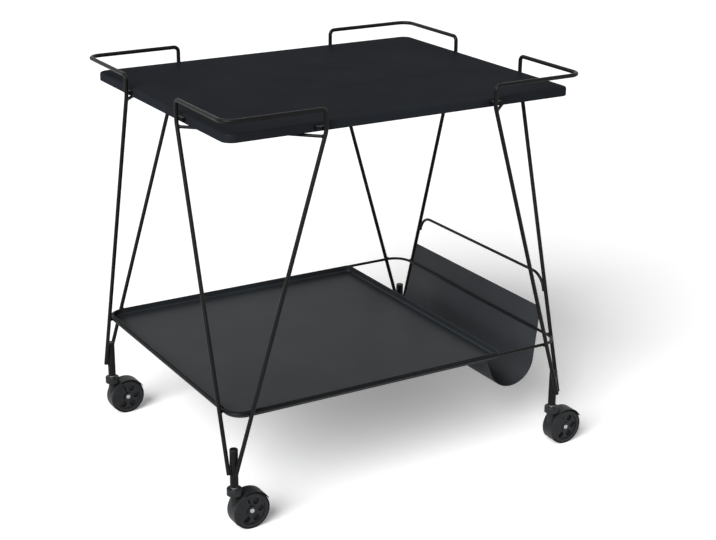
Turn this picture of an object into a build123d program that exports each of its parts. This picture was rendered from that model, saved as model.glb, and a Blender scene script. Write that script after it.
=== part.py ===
from build123d import *
import os
from math import atan, cos, radians, sqrt, tan

os.makedirs("parts", exist_ok=True)

# Sizes in mm. X runs along the cart, Y towards its back, Z up from the floor.

# Frame: the leg wires lie in four upright planes, one on each side of the cart.
frame_length = 762.0
frame_depth = 614.0
leg_wire = 8.0
light_wire = 6.0
sheet = 1.5
weld_gap = 0.05
end_chamfer = 0.8

# Upper tray, a sheet with a rim turned down.
tray_height = 758.0
upper_rim = 16.0
upper_corner = 21.0
upper_bend = 4.0
rim_gap_x = 7.0
rim_gap_y = 12.0

# Legs: one bent wire per corner, with a raised handle round the tray's corner.
handle_rise = 27.0
handle_short = 193.0
handle_long = 199.0
handle_corner = 24.0
handle_bend = 10.0
knee_drop = 14.0
knee_bend = 25.0
wire_end = 117.5
weld_rise = 8.0
foot_lean = 2.0
brace_trim = 0.8
brace_gap = 3.2

# Lugs on the leg wires, each with one screw into the rim of the upper tray.
lug_length = 20.0
lug_height = 7.0
lug_reach = 10.0
screw_d = 4.0
screw_head_d = 7.0
screw_head = 2.2
screw_key = 2.5
screw_key_depth = 1.4
screw_play = 0.1
screw_taper = 12.0
screw_through = 4.5

# Lower ring and lower tray, a sheet with a lip turned up.
ring_height = 233.0
ring_corner = 38.0
rack_bay = 144.3
lower_lip = 15.0
lip_rise = 5.0
lower_bend = 5.0
lower_end_corner = 12.0
tray_clearance = 0.3

# Magazine rack, a sheet bent to a trough, and the rail above it.
rack_rise = 46.2
rack_radius = 54.0
rack_inner_lean = 22.0
rack_outer_lean = 6.5
rack_back_lean = 9.5
rack_clearance = 1.0
rack_setback = 23.0
rack_drop = 2.0
rail_rise = 118.5
rail_bend = 38.0
rail_tail = 34.0

# Caster sockets at the feet of the legs.
socket_d = 16.0
socket_bottom = 90.5
socket_length = 73.5
socket_bore = 11.0
bore_depth = 42.0
plug_flange = 3.0
plug_length = 10.0
plug_wall = 2.0
end_room = 1.0
push_fit = 0.02

# Casters: a stem, a hood that swivels on it and two wheels on one axle.
trail = 30.0
wheel_d = 75.0
wheel_width = 9.0
tread_depth = 4.0
tread_round = 2.0
web = 7.0
side_play = 0.5
cheek = 1.7
cheek_play = 0.8
fender_gap = 0.8
fender = 1.6
fender_start = 28.0
fender_end = 150.0
cheek_start = 112.0
cheek_end = 215.0
cheek_reach = 1.0
cheek_hub = 12.5
hood_round = 1.2
boss_round = 2.0
boss_d = 29.0
boss_height = 13.0
neck_d = 16.0
neck_height = 24.0
stem_pin_d = 8.0
stem_pin = 18.0
stem_room = 4.0
stem_chamfer = 1.0
collar_d = 15.0
collar = 3.0
stem_play = 0.05
thrust_gap = 0.2
axle_d = 6.0
axle_play = 0.05
hub_d = 18.0
cap_d = 9.0
cap_depth = 2.0
cap_crown = 0.8
dish_d = 57.0
dish_depth = 2.5
pocket_d = 13.0
pocket_ring = 39.0
pocket_depth = 4.5
pocket_count = 6

half_length = frame_length / 2
half_depth = frame_depth / 2
wheel_radius = wheel_d / 2
socket_inset = foot_lean + leg_wire / 2 + socket_d / 2 + weld_gap
socket_x = half_length - socket_inset
socket_y = half_depth - socket_inset

# The trailing wheels reach past the right end, so the frame's middle stands left of the origin.
frame_x = (half_length + leg_wire / 2 - socket_x - trail - wheel_radius) / 2

corners = {
    "front_left": (-1, -1),
    "front_right": (1, -1),
    "back_left": (-1, 1),
    "back_right": (1, 1),
}

handle_z = tray_height + handle_rise
knee_z = tray_height - knee_drop
weld_z = wire_end + weld_rise
knee_x = half_length - handle_long
knee_y = half_depth - handle_short
slope_x = (socket_x - knee_x) / (knee_z - weld_z)
slope_y = (socket_y - knee_y) / (knee_z - weld_z)


# The leg wires' planes lean in towards the feet, by foot_lean where the wires meet the sockets.
def lean(height):
    return foot_lean * (knee_z - height) / (knee_z - weld_z)


def leg_x(height):
    return socket_x + slope_x * (weld_z - height)


def leg_y(height):
    return socket_y + slope_y * (weld_z - height)


def bent_wire(points, bends, diameter, closed=False):
    with BuildPart() as wire:
        with BuildLine() as path:
            FilletPolyline(*points, radius=bends, close=closed)
        with BuildSketch(Plane(origin=path.line @ 0, z_dir=path.line % 0)):
            Circle(diameter / 2)
        sweep()
        if not closed:
            chamfer(wire.faces().filter_by(GeomType.PLANE).edges(), end_chamfer)
    return wire


# Upper tray, with a hole in its rim for every screw.
upper_x = half_length - leg_wire / 2 - rim_gap_x
upper_y = half_depth - leg_wire / 2 - rim_gap_y
lug_z = tray_height - upper_bend - lug_height / 2
lug_places = []
for sx, sy in corners.values():
    short_side = Plane(
        origin=(frame_x + sx * upper_x, sy * (knee_y + lug_reach), lug_z),
        x_dir=(0, sy, 0),
        z_dir=(sx, 0, 0),
    )
    long_side = Plane(
        origin=(frame_x + sx * (knee_x + lug_reach), sy * upper_y, lug_z),
        x_dir=(sx, 0, 0),
        z_dir=(0, sy, 0),
    )
    lug_places.append((short_side, rim_gap_x))
    lug_places.append((long_side, rim_gap_y))

with BuildPart() as top_tray:
    with BuildSketch(Plane((frame_x, 0, tray_height - upper_rim))):
        RectangleRounded(2 * upper_x, 2 * upper_y, upper_corner)
    extrude(amount=upper_rim)
    fillet(top_tray.faces().sort_by(Axis.Z)[-1].edges(), upper_bend)
    offset(amount=-sheet, openings=top_tray.faces().sort_by(Axis.Z)[0])
    for place, gap in lug_places:
        with BuildSketch(place):
            Circle(screw_d / 2 + screw_play)
        extrude(amount=-2 * sheet, mode=Mode.SUBTRACT)
top_tray.part.label = "top_tray"
export_step(top_tray.part, "parts/top_tray.step")

# Lugs run from the rim to the leg wire, and past the wire towards the corner.
with BuildPart() as tray_lugs:
    for place, gap in lug_places:
        with BuildSketch(place.offset(weld_gap)):
            with Locations((lug_length / 2 - lug_reach - leg_wire / 2, 0)):
                Rectangle(lug_length, lug_height)
            Circle(screw_d / 2 + screw_play, mode=Mode.SUBTRACT)
        extrude(amount=gap - 2 * weld_gap)
tray_lugs.part.label = "tray_lugs"
export_step(tray_lugs.part, "parts/tray_lugs.step")

with BuildPart() as tray_screws:
    for place, gap in lug_places:
        with BuildSketch(place.offset(gap)):
            Circle(screw_d / 2)
        extrude(amount=-gap - screw_through)
        with BuildSketch(place.offset(gap)):
            Circle(screw_head_d / 2)
        extrude(amount=screw_head, taper=screw_taper)
        with BuildSketch(place.offset(gap + screw_head)):
            RegularPolygon(screw_key / 2, 6, major_radius=False)
        extrude(amount=-screw_key_depth, mode=Mode.SUBTRACT)
tray_screws.part.label = "tray_screws"
export_step(tray_screws.part, "parts/tray_screws.step")

# Leg wires: foot, short-side slant, handle round the corner, long-side slant, foot.
for name, (sx, sy) in corners.items():
    end_x = frame_x + sx * half_length
    end_y = sy * half_depth
    leg = bent_wire(
        [
            (end_x - sx * lean(wire_end), sy * leg_y(wire_end), wire_end),
            (end_x, sy * knee_y, knee_z),
            (end_x, sy * knee_y, handle_z),
            (end_x, end_y, handle_z),
            (frame_x + sx * knee_x, end_y, handle_z),
            (frame_x + sx * knee_x, end_y, knee_z),
            (frame_x + sx * leg_x(wire_end), end_y - sy * lean(wire_end), wire_end),
        ],
        [knee_bend, handle_bend, handle_corner, handle_bend, knee_bend],
        leg_wire,
    )
    leg.part.label = f"leg_{name}"
    export_step(leg.part, f"parts/leg_{name}.step")

# Braces under the rim of the upper tray, from wire to wire across each corner.
brace_z = tray_height - upper_rim - brace_gap - light_wire / 2
brace_dx = half_length - leg_x(brace_z)
brace_dy = half_depth - leg_y(brace_z)
brace_length = sqrt(brace_dx**2 + brace_dy**2)
brace_end = (leg_wire / 2 + brace_trim) / brace_length
for name, (sx, sy) in corners.items():
    with BuildPart() as brace:
        with BuildLine() as path:
            Line(
                (
                    frame_x + sx * (half_length - brace_end * brace_dx),
                    sy * (leg_y(brace_z) + brace_end * brace_dy),
                    brace_z,
                ),
                (
                    frame_x + sx * (leg_x(brace_z) + brace_end * brace_dx),
                    sy * (half_depth - brace_end * brace_dy),
                    brace_z,
                ),
            )
        with BuildSketch(Plane(origin=path.line @ 0, z_dir=path.line % 0)):
            Circle(light_wire / 2)
        sweep()
    brace.part.label = f"brace_{name}"
    export_step(brace.part, f"parts/brace_{name}.step")

# Lower ring, welded to the inner sides of all the leg wires.
weld_reach = leg_wire / 2 + light_wire / 2 + weld_gap
ring_x = half_length - lean(ring_height) - weld_reach
ring_y = half_depth - lean(ring_height) - weld_reach
lower_ring = bent_wire(
    [
        (frame_x - ring_x, -ring_y, ring_height),
        (frame_x + ring_x, -ring_y, ring_height),
        (frame_x + ring_x, ring_y, ring_height),
        (frame_x - ring_x, ring_y, ring_height),
    ],
    ring_corner,
    light_wire,
    closed=True,
)
lower_ring.part.label = "lower_ring"
export_step(lower_ring.part, "parts/lower_ring.step")

# Lower tray, inside the ring on three sides and beside the magazine rack on the right.
lower_inset = light_wire / 2 + tray_clearance
lower_left = -ring_x + lower_inset
lower_right = ring_x - rack_bay
lower_length = lower_right - lower_left
lower_y = ring_y - lower_inset
lip_top = ring_height + lip_rise
with BuildPart() as lower_tray:
    with BuildSketch(Plane((frame_x + lower_left, 0, lip_top - lower_lip))) as outline:
        Rectangle(lower_length, 2 * lower_y, align=(Align.MIN, Align.CENTER))
        fillet(outline.vertices().sort_by(Axis.X)[:2], ring_corner - lower_inset)
        fillet(outline.vertices().sort_by(Axis.X)[-2:], lower_end_corner)
    extrude(amount=lower_lip)
    fillet(lower_tray.faces().sort_by(Axis.Z)[0].edges(), lower_bend)
    offset(amount=-sheet, openings=lower_tray.faces().sort_by(Axis.Z)[-1])
lower_tray.part.label = "lower_tray"
export_step(lower_tray.part, "parts/lower_tray.step")

# Magazine rack: from the lower tray's right lip down round the trough and up outside the ring.
# Its front end is square, and its back end leans out towards the foot of the leg beside it.
rack_top = ring_height + rack_rise
inner_top = lip_top - rack_drop
inner_x = lower_right + weld_gap + sheet / cos(radians(rack_inner_lean))
outer_x = ring_x + (light_wire / 2 + weld_gap) / cos(radians(rack_outer_lean))
inner_slope = tan(radians(rack_inner_lean))
outer_slope = tan(radians(rack_outer_lean))
inner_offset = inner_x + inner_slope * inner_top
outer_offset = outer_x - outer_slope * ring_height
vertex_z = (inner_offset - outer_offset) / (inner_slope + outer_slope)
vertex_x = outer_offset + outer_slope * vertex_z
rack_back = leg_y(rack_top) - leg_wire / 2 * sqrt(1 + slope_y**2) - rack_clearance
rack_front = rack_setback - rack_back
rack_plane = Plane(origin=(frame_x, rack_front, 0), x_dir=(1, 0, 0), z_dir=(0, -1, 0))
back_slope = tan(radians(rack_back_lean))
rack_back_cut = Plane(origin=(frame_x, rack_back, rack_top), x_dir=(1, 0, 0), z_dir=(0, 1, back_slope))
with BuildPart() as magazine_rack:
    with BuildSketch(rack_plane):
        with BuildLine():
            FilletPolyline(
                (inner_x, inner_top),
                (vertex_x, vertex_z),
                (outer_offset + outer_slope * rack_top, rack_top),
                radius=rack_radius,
            )
            offset(amount=sheet, side=Side.RIGHT)
        make_face()
    extrude(amount=rack_front - leg_y(0))
    split(bisect_by=rack_back_cut, keep=Keep.BOTTOM)
magazine_rack.part.label = "magazine_rack"
export_step(magazine_rack.part, "parts/magazine_rack.step")

# Rail above the rack: its two ends run down along the leg wires on the right.
tail_inset = weld_reach / cos(atan(slope_y))
rail_z = ring_height + rail_rise
tail_z = rail_z - rail_tail
rail_x = frame_x + half_length - lean(rail_z)
tail_x = frame_x + half_length - lean(tail_z)
rack_rail = bent_wire(
    [
        (tail_x, tail_inset - leg_y(tail_z), tail_z),
        (rail_x, tail_inset - leg_y(rail_z), rail_z),
        (rail_x, leg_y(rail_z) - tail_inset, rail_z),
        (tail_x, leg_y(tail_z) - tail_inset, tail_z),
    ],
    rail_bend,
    light_wire,
)
rack_rail.part.label = "rack_rail"
export_step(rack_rail.part, "parts/rack_rail.step")

# Widths inside a caster, measured outwards from its middle plane.
wheel_in = web / 2 + side_play
wheel_out = wheel_in + wheel_width
well_out = wheel_out + cheek_play
hood_out = well_out + cheek
core_radius = wheel_radius - tread_depth
collar_bottom = socket_bottom - collar
boss_top = collar_bottom - thrust_gap
fender_out = wheel_radius + fender_gap + fender
cheek_out = wheel_radius + cheek_reach

for name, (sx, sy) in corners.items():
    at_x = frame_x + sx * socket_x
    at_y = sy * socket_y
    axle_plane = Plane(
        origin=(at_x + trail, at_y, wheel_radius),
        x_dir=(1, 0, 0),
        z_dir=(0, -1, 0),
    )

    with BuildPart() as socket:
        with BuildSketch(Plane((at_x, at_y, socket_bottom))):
            Circle(socket_d / 2)
        extrude(amount=socket_length)
        with BuildSketch(Plane((at_x, at_y, socket_bottom))):
            Circle(socket_bore / 2)
        extrude(amount=bore_depth, mode=Mode.SUBTRACT)
        with BuildSketch(Plane((at_x, at_y, socket_bottom + socket_length))):
            Circle(socket_d / 2 - plug_wall)
        extrude(amount=-plug_length - end_room, mode=Mode.SUBTRACT)
    socket.part.label = f"socket_{name}"
    export_step(socket.part, f"parts/socket_{name}.step")

    with BuildPart() as socket_plug:
        with BuildSketch(Plane((at_x, at_y, socket_bottom + socket_length + push_fit))):
            Circle(socket_d / 2)
        extrude(amount=plug_flange)
        fillet(socket_plug.faces().sort_by(Axis.Z)[-1].edges(), plug_flange / 2)
        with BuildSketch(Plane((at_x, at_y, socket_bottom + socket_length + push_fit))):
            Circle(socket_d / 2 - plug_wall - push_fit)
        extrude(amount=-plug_length)
    socket_plug.part.label = f"socket_plug_{name}"
    export_step(socket_plug.part, f"parts/socket_plug_{name}.step")

    with BuildPart() as stem:
        with BuildSketch(Plane((at_x, at_y, collar_bottom))):
            Circle(collar_d / 2)
        extrude(amount=collar - push_fit)
        with BuildSketch(Plane((at_x, at_y, collar_bottom))):
            Circle(socket_bore / 2 - push_fit)
        extrude(amount=collar + bore_depth - stem_room)
        chamfer(stem.faces().sort_by(Axis.Z)[-1].edges(), stem_chamfer)
        with BuildSketch(Plane((at_x, at_y, collar_bottom))):
            Circle(stem_pin_d / 2)
        extrude(amount=-stem_pin)
        chamfer(stem.faces().sort_by(Axis.Z)[0].edges(), stem_chamfer)
    stem.part.label = f"caster_stem_{name}"
    export_step(stem.part, f"parts/caster_stem_{name}.step")

    # Hood: fender and cheeks round the wheels, a web between them and a boss for the stem.
    with BuildPart() as hood:
        with BuildSketch(axle_plane):
            with BuildLine():
                CenterArc((0, 0), fender_out, fender_start, fender_end - fender_start)
                PolarLine((0, 0), fender_out, fender_start)
                PolarLine((0, 0), fender_out, fender_end)
            make_face()
        extrude(amount=well_out, both=True)
        with BuildSketch(axle_plane):
            with BuildLine():
                CenterArc((0, 0), cheek_out, cheek_start, cheek_end - cheek_start)
                PolarLine((0, 0), cheek_out, cheek_start)
                PolarLine((0, 0), cheek_out, cheek_end)
            make_face()
            Circle(hub_d / 2)
        extrude(amount=hood_out, both=True)
        with BuildSketch(Plane((at_x, at_y, boss_top))):
            Circle(boss_d / 2)
        extrude(amount=-boss_height)
        with BuildSketch(Plane((at_x, at_y, boss_top - boss_height))):
            Circle(neck_d / 2)
        extrude(amount=-neck_height)
        sides = hood.faces().filter_by(Axis.Y).sort_by(Axis.Y)
        fillet(sides[0].edges() + sides[-1].edges(), hood_round)
        fillet(hood.faces().sort_by(Axis.Z)[-1].edges(), boss_round)
        for side in (1, -1):
            with BuildSketch(axle_plane.offset(side * web / 2)):
                Circle(wheel_radius + fender_gap)
            extrude(amount=side * (well_out - web / 2), mode=Mode.SUBTRACT)
            with BuildSketch(axle_plane.offset(side * well_out)):
                Circle(cheek_hub)
            extrude(amount=side * 2 * cheek, mode=Mode.SUBTRACT)
        with BuildSketch(axle_plane.offset(-web)):
            Circle(axle_d / 2 + push_fit)
        extrude(amount=2 * web, mode=Mode.SUBTRACT)
        with BuildSketch(Plane((at_x, at_y, boss_top))):
            Circle(stem_pin_d / 2 + stem_play)
        extrude(amount=-stem_pin, mode=Mode.SUBTRACT)
    hood.part.label = f"caster_hood_{name}"
    export_step(hood.part, f"parts/caster_hood_{name}.step")

    axle_half = wheel_out - cap_depth - side_play
    with BuildPart() as axle:
        with BuildSketch(axle_plane.offset(-axle_half)):
            Circle(axle_d / 2)
        extrude(amount=2 * axle_half)
    axle.part.label = f"caster_axle_{name}"
    export_step(axle.part, f"parts/caster_axle_{name}.step")

    # Each wheel is a core with a dished outer face, a tread round it and a cap over the axle.
    for position, side in (("outer", -sy), ("inner", sy)):
        with BuildPart() as wheel:
            with BuildSketch(axle_plane.offset(side * wheel_in)):
                Circle(core_radius)
                Circle(axle_d / 2 + axle_play, mode=Mode.SUBTRACT)
            extrude(amount=side * wheel_width)
            with BuildSketch(axle_plane.offset(side * wheel_out)):
                Circle(dish_d / 2)
                Circle(hub_d / 2, mode=Mode.SUBTRACT)
            extrude(amount=-side * dish_depth, mode=Mode.SUBTRACT)
            with BuildSketch(axle_plane.offset(side * (wheel_out - dish_depth))):
                with PolarLocations(pocket_ring / 2, pocket_count):
                    Circle(pocket_d / 2)
            extrude(amount=-side * pocket_depth, mode=Mode.SUBTRACT)
            with BuildSketch(axle_plane.offset(side * wheel_out)):
                Circle(cap_d / 2)
            extrude(amount=-side * cap_depth, mode=Mode.SUBTRACT)
        wheel.part.label = f"wheel_{position}_{name}"
        export_step(wheel.part, f"parts/wheel_{position}_{name}.step")

        with BuildPart() as tread:
            with BuildSketch(axle_plane.offset(side * wheel_in)):
                Circle(wheel_radius)
            extrude(amount=side * wheel_width)
            fillet(tread.edges(), tread_round)
            with BuildSketch(axle_plane.offset(side * wheel_in)):
                Circle(core_radius + push_fit)
            extrude(amount=side * wheel_width, mode=Mode.SUBTRACT)
        tread.part.label = f"tread_{position}_{name}"
        export_step(tread.part, f"parts/tread_{position}_{name}.step")

        with BuildPart() as hub_cap:
            with BuildSketch(axle_plane.offset(side * (wheel_out - cap_depth + push_fit))):
                Circle(cap_d / 2 - push_fit)
            extrude(amount=side * (cap_depth - push_fit + cap_crown))
            flats = hub_cap.faces().filter_by(GeomType.PLANE)
            fillet(flats.sort_by_distance(axle_plane.origin)[-1].edges(), cap_crown / 2)
        hub_cap.part.label = f"hub_cap_{position}_{name}"
        export_step(hub_cap.part, f"parts/hub_cap_{position}_{name}.step")
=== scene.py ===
import math

import bmesh
import bpy
from mathutils import Matrix, Vector


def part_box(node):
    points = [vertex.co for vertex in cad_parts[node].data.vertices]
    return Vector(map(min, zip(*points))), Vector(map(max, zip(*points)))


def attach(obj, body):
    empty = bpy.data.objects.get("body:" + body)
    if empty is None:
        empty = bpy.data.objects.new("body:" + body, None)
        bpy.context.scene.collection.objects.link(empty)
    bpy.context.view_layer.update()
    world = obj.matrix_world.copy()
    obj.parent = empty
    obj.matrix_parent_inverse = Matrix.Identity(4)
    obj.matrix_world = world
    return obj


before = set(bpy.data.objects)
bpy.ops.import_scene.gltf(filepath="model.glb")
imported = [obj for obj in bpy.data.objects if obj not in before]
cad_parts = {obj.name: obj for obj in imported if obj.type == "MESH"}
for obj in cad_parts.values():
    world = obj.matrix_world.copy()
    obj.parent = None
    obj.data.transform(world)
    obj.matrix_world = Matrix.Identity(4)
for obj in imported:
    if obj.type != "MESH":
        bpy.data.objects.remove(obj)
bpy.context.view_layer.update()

MM = 0.001
UP = Vector((0, 0, 1))
WHITE = (1, 1, 1, 1)
CORNERS = {"front_left": (-1, -1), "front_right": (1, -1), "back_left": (-1, 1), "back_right": (1, 1)}
WHEEL_SIDES = ("outer", "inner")


def linear(hex_colour):
    """A colour written as an sRGB hex value, in the linear values that Blender's sockets take."""
    channels = [int(hex_colour[i:i + 2], 16) / 255 for i in (1, 3, 5)]
    return tuple(c / 12.92 if c <= 0.04045 else ((c + 0.055) / 1.055) ** 2.4 for c in channels) + (1,)


def add_node(tree, kind, settings=None, sockets=None, links=None):
    """Adds a node, with its settings, its socket values and the sockets that feed its inputs."""
    node = tree.nodes.new(kind)
    for name, value in (settings or {}).items():
        setattr(node, name, value)
    for name, value in (sockets or {}).items():
        node.inputs[name].default_value = value
    for name, source in (links or {}).items():
        tree.links.new(source, node.inputs[name])
    return node


def new_material(name):
    material = bpy.data.materials.new(name)
    material.use_nodes = True
    material.node_tree.nodes.clear()
    return material, material.node_tree


def finish_material(tree, shader):
    add_node(tree, "ShaderNodeOutputMaterial", links={"Surface": shader.outputs[0]})


def noise(tree, grain, detail, roughness):
    """Noise that is fixed to the object, with blotches of a real size."""
    place = add_node(tree, "ShaderNodeTexCoord")
    texture = add_node(tree, "ShaderNodeTexNoise", {"noise_dimensions": "3D"},
                       {"Scale": 1 / grain, "Detail": detail, "Roughness": roughness},
                       {"Vector": place.outputs["Object"]})
    return texture.outputs["Fac"]


def tint(tree, factor, dark, light, start, end):
    """A colour that goes from dark to light as the factor goes from start to end."""
    ramp = add_node(tree, "ShaderNodeValToRGB", links={"Fac": factor})
    for stop, position, colour in zip(ramp.color_ramp.elements, (start, end), (dark, light)):
        stop.position = position
        stop.color = linear(colour)
    return ramp.outputs["Color"]


def gloss(tree, factor, smooth, rough):
    """A roughness that goes from smooth to rough over the middle of the noise's range."""
    level = add_node(tree, "ShaderNodeMapRange",
                     sockets={"From Min": 0.3, "From Max": 0.7, "To Min": smooth, "To Max": rough},
                     links={"Value": factor})
    return level.outputs["Result"]


def relief(tree, factor, strength, height):
    bump = add_node(tree, "ShaderNodeBump", sockets={"Strength": strength, "Distance": height},
                    links={"Height": factor})
    return bump.outputs["Normal"]


def powder_coat(name, dark, light, roughness, specular, sheen_skin):
    """Baked polyester powder on steel: an even satin skin with a fine orange peel and faint clouding.

    The pigment is almost black, so most of what the eye sees is the white surround in the resin skin.
    The peel of the real coat is about 0.8 mm across, drawn here at 2.5 mm so that it shows."""
    material, tree = new_material(name)
    cloud = noise(tree, 90 * MM, 3, 0.55)
    peel = noise(tree, 2.5 * MM, 2, 0.5)
    shader = add_node(tree, "ShaderNodeBsdfPrincipled",
                      sockets={"IOR": 1.5, "Specular IOR Level": specular, "Coat Weight": sheen_skin,
                               "Coat Roughness": 0.38, "Coat IOR": 1.5},
                      links={"Base Color": tint(tree, cloud, dark, light, 0.32, 0.70),
                             "Roughness": gloss(tree, peel, roughness - 0.05, roughness + 0.05),
                             "Normal": relief(tree, peel, 0.10, 0.08 * MM)})
    finish_material(tree, shader)
    return material


def moulded(name, dark, light, roughness, specular, grain, bump_height):
    """Moulded plastic or rubber: one dull colour, broken up by the grain of the tool's eroded face."""
    material, tree = new_material(name)
    spark = noise(tree, grain * MM, 3, 0.6)
    flow = noise(tree, 18 * MM, 2, 0.5)
    shader = add_node(tree, "ShaderNodeBsdfPrincipled",
                      sockets={"IOR": 1.5, "Specular IOR Level": specular},
                      links={"Base Color": tint(tree, flow, dark, light, 0.35, 0.68),
                             "Roughness": gloss(tree, spark, roughness - 0.08, roughness + 0.08),
                             "Normal": relief(tree, spark, 0.25, bump_height * MM)})
    finish_material(tree, shader)
    return material


def turned_steel(name, dark, light, roughness):
    """Zinc-plated turned steel: a grey metal with a slightly uneven plating and fine marks of wear."""
    material, tree = new_material(name)
    plating = noise(tree, 4 * MM, 3, 0.6)
    marks = noise(tree, 0.5 * MM, 2, 0.5)
    shader = add_node(tree, "ShaderNodeBsdfPrincipled",
                      sockets={"Metallic": 1},
                      links={"Base Color": tint(tree, plating, dark, light, 0.30, 0.72),
                             "Roughness": gloss(tree, marks, roughness - 0.08, roughness + 0.10),
                             "Normal": relief(tree, marks, 0.12, 0.04 * MM)})
    finish_material(tree, shader)
    return material


# The trays, the rack and the rods are one black powder coat. The upper tray's copy is painted shade: a
# darker tone and less sheen than the others.
shaded_upper_tray_coat = powder_coat("powder_coated_steel_upper_tray_painted_shade", "#1a1c20", "#1e2125", 0.50, 0.0, 0.05)
# The lower tray's copy is painted light and painted sheen: a lighter tone and a thicker gloss skin than the
# upper tray's, for the same coat.
lit_lower_tray_coat = powder_coat("powder_coated_steel_lower_tray_painted_sheen", "#202326", "#25282b", 0.55, 0.0, 0.34)
# The rack's copy is painted light: a lighter tone and more sheen than the upper tray's, for the same coat.
lit_rack_coat = powder_coat("powder_coated_steel_rack_painted_light", "#2f3134", "#343639", 0.52, 0.0, 0.24)
# The rods' copy is painted shade: a darker tone and weaker gloss than the trays', standing in for the dark
# surround the rods reflect, for the same coat.
shaded_wire_coat = powder_coat("powder_coated_steel_wire_painted_shade", "#0a0a0b", "#0f0f10", 0.36, 0.11, 0.0)
hood_nylon = moulded("moulded_nylon_hood", "#161718", "#1c1d1f", 0.48, 0.18, 0.9, 0.05)
wheel_nylon = moulded("moulded_nylon_wheel", "#151618", "#1b1c1e", 0.45, 0.22, 0.9, 0.05)
plug_plastic = moulded("moulded_polyethylene_plug", "#0c0d0e", "#111213", 0.42, 0.20, 0.8, 0.04)
tread_rubber = moulded("moulded_rubber_tread", "#09090a", "#0e0e0f", 0.62, 0.10, 1.2, 0.10)
bright_steel = turned_steel("zinc_plated_turned_steel", "#9da0a4", "#b4b7ba", 0.30)

coat_of = {
    "top_tray": shaded_upper_tray_coat,
    "lower_tray": lit_lower_tray_coat,
    "magazine_rack": lit_rack_coat,
    "lower_ring": shaded_wire_coat,
    "rack_rail": shaded_wire_coat,
    "tray_lugs": shaded_wire_coat,
    "tray_screws": shaded_wire_coat,
}
for corner in CORNERS:
    coat_of["leg_" + corner] = shaded_wire_coat
    coat_of["brace_" + corner] = shaded_wire_coat
    coat_of["socket_" + corner] = shaded_wire_coat
    coat_of["socket_plug_" + corner] = plug_plastic
    coat_of["caster_stem_" + corner] = bright_steel
    coat_of["caster_hood_" + corner] = hood_nylon
    coat_of["caster_axle_" + corner] = bright_steel
    for side in WHEEL_SIDES:
        coat_of[f"wheel_{side}_{corner}"] = wheel_nylon
        coat_of[f"tread_{side}_{corner}"] = tread_rubber
        coat_of[f"hub_cap_{side}_{corner}"] = bright_steel

for name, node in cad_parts.items():
    node.data.materials.clear()
    node.data.materials.append(coat_of[name])

# Welds. The rods' places come from the frame, and the bends and feet of the legs from these sizes.
LEG_RADIUS = 4 * MM
LIGHT_RADIUS = 3 * MM
KNEE_HEIGHT = 744 * MM
FOOT_HEIGHT = 125.5 * MM
FOOT_LEAN = 2 * MM

# Half the length, half the width and the number of ripples of each kind of bead.
SOCKET_BEAD = (11 * MM, 1.8 * MM, 7)
RING_BEAD = (5 * MM, 1.4 * MM, 4)
LUG_BEAD = (3.2 * MM, 1.1 * MM, 3)
BRACE_BEAD = (1.9 * MM, 3.6 * MM, 2)
RAIL_BEAD = (3.5 * MM, 1.2 * MM, 3)
TACK_BEAD = (6 * MM, 1.2 * MM, 4)

# Where a bead lies: how far in from the middle of the leg's rod, and how far to either side of it.
SOCKET_IN, SOCKET_ASIDE = 3.5 * MM, 3.2 * MM
RING_IN, RING_ASIDE = 4 * MM, 2.6 * MM
LUG_IN, LUG_ASIDE = 3.2 * MM, 2.6 * MM
RAIL_IN, RAIL_ASIDE = 4.1 * MM, 2.3 * MM
BRACE_IN = 4.5 * MM
TAIL_RISE = 4 * MM

# Tacks under the ring: their drop below its middle, and their places as shares of half its length or depth.
TACK_DROP = 2.3 * MM
RACK_TACK_INSET = 0.4 * MM
LONG_SIDE_TACKS = (-0.65, -0.15, 0.30)
LEFT_END_TACKS = (-0.5, 0.5)
RACK_TACKS = (-0.62, -0.2, 0.22, 0.64)


def middle(node):
    low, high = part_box(node)
    return (Vector(low) + Vector(high)) / 2


def half_size(node):
    low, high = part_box(node)
    return (Vector(high) - Vector(low)) / 2


def abs_vector(direction):
    return Vector([abs(c) for c in direction])


def corner_sides(corner):
    """The short-side and long-side rods of a leg: which way is out of the cart, and which way is along."""
    sx, sy = CORNERS[corner]
    return (Vector((sx, 0, 0)), Vector((0, sy, 0))), (Vector((0, sy, 0)), Vector((sx, 0, 0)))


def rod_place(corner, out, along, height):
    """The middle of a leg rod at a height, between its knee under the tray and its foot at the socket."""
    leg_middle = middle("leg_" + corner)
    leg_half = half_size("leg_" + corner)
    foot = middle("socket_" + corner)
    side = leg_middle.dot(out) + leg_half.dot(abs_vector(out)) - LEG_RADIUS
    knee = leg_middle.dot(along) - leg_half.dot(abs_vector(along)) + LEG_RADIUS
    fall = (KNEE_HEIGHT - height) / (KNEE_HEIGHT - FOOT_HEIGHT)
    return (out * (side - FOOT_LEAN * fall) + along * (knee + (foot.dot(along) - knee) * fall)
            + UP * height)


def rod_rise(corner, out, along):
    knee = rod_place(corner, out, along, KNEE_HEIGHT)
    return (knee - rod_place(corner, out, along, FOOT_HEIGHT)).normalized()


def weld_bead(shape, place, along, bead):
    """One run of weld: a rounded bead with the ripples that the moving arc leaves."""
    length, width, ripples = bead
    turn = Matrix.Translation(place) @ along.to_track_quat("Z", "Y").to_matrix().to_4x4()
    ball = bmesh.ops.create_uvsphere(shape, u_segments=12, v_segments=6 * ripples, radius=1)
    for vert in ball["verts"]:
        run = vert.co.z
        swell = math.sqrt(1 + run * run) * (1 + 0.06 * math.cos(math.pi * ripples * run))
        vert.co = turn @ Vector((vert.co.x * width * swell, vert.co.y * width * swell, run * length))


def weld_piece(name, shape):
    mesh = bpy.data.meshes.new(name)
    shape.to_mesh(mesh)
    shape.free()
    mesh.shade_smooth()
    mesh.materials.append(shaded_wire_coat)
    piece = bpy.data.objects.new(name, mesh)
    bpy.context.scene.collection.objects.link(piece)
    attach(piece, "frame")


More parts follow.
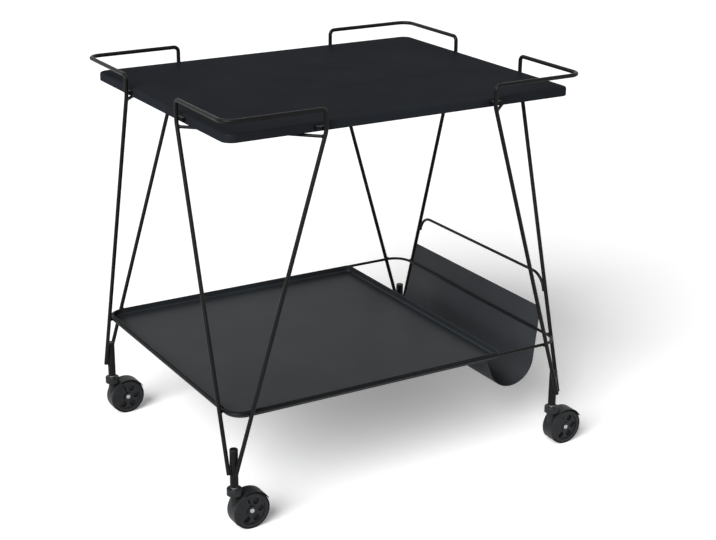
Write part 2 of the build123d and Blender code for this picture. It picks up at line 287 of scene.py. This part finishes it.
socket_welds = bmesh.new()
ring_welds = bmesh.new()
lug_welds = bmesh.new()
brace_welds = bmesh.new()
ring_height = middle("lower_ring").z
lug_height = middle("tray_lugs").z
brace_height = middle("brace_front_left").z
for corner in CORNERS:
    brace_ends = []
    for out, along in corner_sides(corner):
        rise = rod_rise(corner, out, along)
        foot = rod_place(corner, out, along, FOOT_HEIGHT)
        crossing = rod_place(corner, out, along, ring_height)
        knee = rod_place(corner, out, along, KNEE_HEIGHT)
        lug = Vector((knee.x, knee.y, lug_height))
        brace_ends.append(rod_place(corner, out, along, brace_height))
        for side in (-1, 1):
            # Both hollows between rod and socket, on a line between the rod's slant and the upright socket.
            hollow = foot - out * SOCKET_IN + along * side * SOCKET_ASIDE
            weld_bead(socket_welds, hollow, rise + UP, SOCKET_BEAD)
            # Over and under the ring where the rod crosses it.
            weld_bead(ring_welds, crossing - out * RING_IN + UP * side * RING_ASIDE, along, RING_BEAD)
            # Both ends of the gap between rod and lug.
            weld_bead(lug_welds, lug - out * LUG_IN + along * side * LUG_ASIDE, UP, LUG_BEAD)
    for near, far in (brace_ends, reversed(brace_ends)):
        run = (far - near).normalized()
        weld_bead(brace_welds, near + run * BRACE_IN, run, BRACE_BEAD)
weld_piece("socket_welds", socket_welds)
weld_piece("ring_welds", ring_welds)
weld_piece("lug_welds", lug_welds)
weld_piece("brace_welds", brace_welds)

# The rail's ends lie along the right-hand rods, with a run of weld on each side of each end.
rail_welds = bmesh.new()
tail_height = middle("rack_rail").z - half_size("rack_rail").z + TAIL_RISE
for corner in ("front_right", "back_right"):
    out, along = corner_sides(corner)[0]
    hollow = rod_place(corner, out, along, tail_height) - along * RAIL_IN
    for side in (-1, 1):
        weld_bead(rail_welds, hollow + out * side * RAIL_ASIDE, rod_rise(corner, out, along), RAIL_BEAD)
weld_piece("rail_welds", rail_welds)

# Tacks under the ring: the lower tray's lip inside it, and the magazine rack outside it at the right end.
tacks = bmesh.new()
ring_half = half_size("lower_ring")
tack_level = middle("lower_ring") - UP * TACK_DROP
for share in LONG_SIDE_TACKS:
    for side in (-1, 1):
        inside = Vector((share * ring_half.x, side * (ring_half.y - 2 * LIGHT_RADIUS), 0))
        weld_bead(tacks, tack_level + inside, Vector((1, 0, 0)), TACK_BEAD)
for share in LEFT_END_TACKS:
    inside = Vector((2 * LIGHT_RADIUS - ring_half.x, share * ring_half.y, 0))
    weld_bead(tacks, tack_level + inside, Vector((0, 1, 0)), TACK_BEAD)
for share in RACK_TACKS:
    outside = Vector((ring_half.x - RACK_TACK_INSET, share * ring_half.y, 0))
    weld_bead(tacks, tack_level + outside, Vector((0, 1, 0)), TACK_BEAD)
weld_piece("ring_tacks", tacks)

# Stage: a pale floor that keeps the shadow, and a plain white surround.
FLOOR_REACH = 30
FLOOR_GLOW = 0.20
SURROUND_LIGHT = 0.18


def seen_ray(tree):
    """1 for a ray that shows the surround as such: straight to the camera, off a gloss or through glass."""
    path = add_node(tree, "ShaderNodeLightPath")
    mirrored = add_node(tree, "ShaderNodeMath", {"operation": "MAXIMUM"},
                        links={0: path.outputs["Is Glossy Ray"], 1: path.outputs["Is Transmission Ray"]})
    seen = add_node(tree, "ShaderNodeMath", {"operation": "MAXIMUM"},
                    links={0: path.outputs["Is Camera Ray"], 1: mirrored.outputs[0]})
    return seen.outputs[0]


def seen_level(tree, unseen, seen):
    """A strength for the rays that show the surround, and another for those that only light the object."""
    level = add_node(tree, "ShaderNodeMapRange", sockets={"To Min": unseen, "To Max": seen},
                     links={"Value": seen_ray(tree)})
    return level.outputs["Result"]


floor_mesh = bpy.data.meshes.new("floor")
floor_shape = bmesh.new()
bmesh.ops.create_grid(floor_shape, x_segments=1, y_segments=1, size=FLOOR_REACH)
floor_shape.to_mesh(floor_mesh)
floor_shape.free()
floor = bpy.data.objects.new("floor", floor_mesh)
bpy.context.scene.collection.objects.link(floor)

floor_material, tree = new_material("matt_white_floor")
matt = add_node(tree, "ShaderNodeBsdfDiffuse", sockets={"Color": linear("#fafafa")})
glow = add_node(tree, "ShaderNodeEmission", sockets={"Color": WHITE},
                links={"Strength": seen_level(tree, 0.0, FLOOR_GLOW)})
lift = add_node(tree, "ShaderNodeAddShader", links={0: matt.outputs[0], 1: glow.outputs[0]})
finish_material(tree, lift)
floor_mesh.materials.append(floor_material)

world = bpy.data.worlds.new("studio")
world.use_nodes = True
tree = world.node_tree
tree.nodes.clear()
surround = add_node(tree, "ShaderNodeBackground", sockets={"Color": WHITE},
                    links={"Strength": seen_level(tree, SURROUND_LIGHT, 1.0)})
add_node(tree, "ShaderNodeOutputWorld", links={"Surface": surround.outputs[0]})
bpy.context.scene.world = world


def wide_lamp(name, azimuth, elevation, spread, strength):
    """A lamp far off in a large diffuser: the same light all over the floor, with soft shadow edges."""
    lamp = bpy.data.lights.new(name, "SUN")
    lamp.angle = math.radians(spread)
    lamp.energy = strength
    place = bpy.data.objects.new(name, lamp)
    place.rotation_euler = (math.radians(90 - elevation), 0, math.radians(azimuth))
    bpy.context.scene.collection.objects.link(place)


wide_lamp("key_lamp", azimuth=-58, elevation=33, spread=42, strength=4.7)

# Camera at the photograph's angle, for a picture of 716 by 540 with the cart left of its middle.
PICTURE_WIDTH = 716
CENTRE_PIXEL = 309
FOCAL_PIXELS = 1534.9
CAMERA_PLACE = (-1.51295, -2.5675, 1.4266)
CAMERA_ELEVATION = 19.80
CAMERA_AZIMUTH = -29.36
lens = bpy.data.cameras.new("camera")
lens.sensor_width = 36
lens.lens = FOCAL_PIXELS * lens.sensor_width / PICTURE_WIDTH
lens.shift_x = (PICTURE_WIDTH / 2 - CENTRE_PIXEL) / PICTURE_WIDTH
lens.clip_end = 100
camera = bpy.data.objects.new("camera", lens)
camera.location = CAMERA_PLACE
camera.rotation_euler = (math.radians(90 - CAMERA_ELEVATION), 0, math.radians(CAMERA_AZIMUTH))
bpy.context.scene.collection.objects.link(camera)
bpy.context.scene.camera = camera
bpy.context.scene.view_settings.view_transform = "Standard"
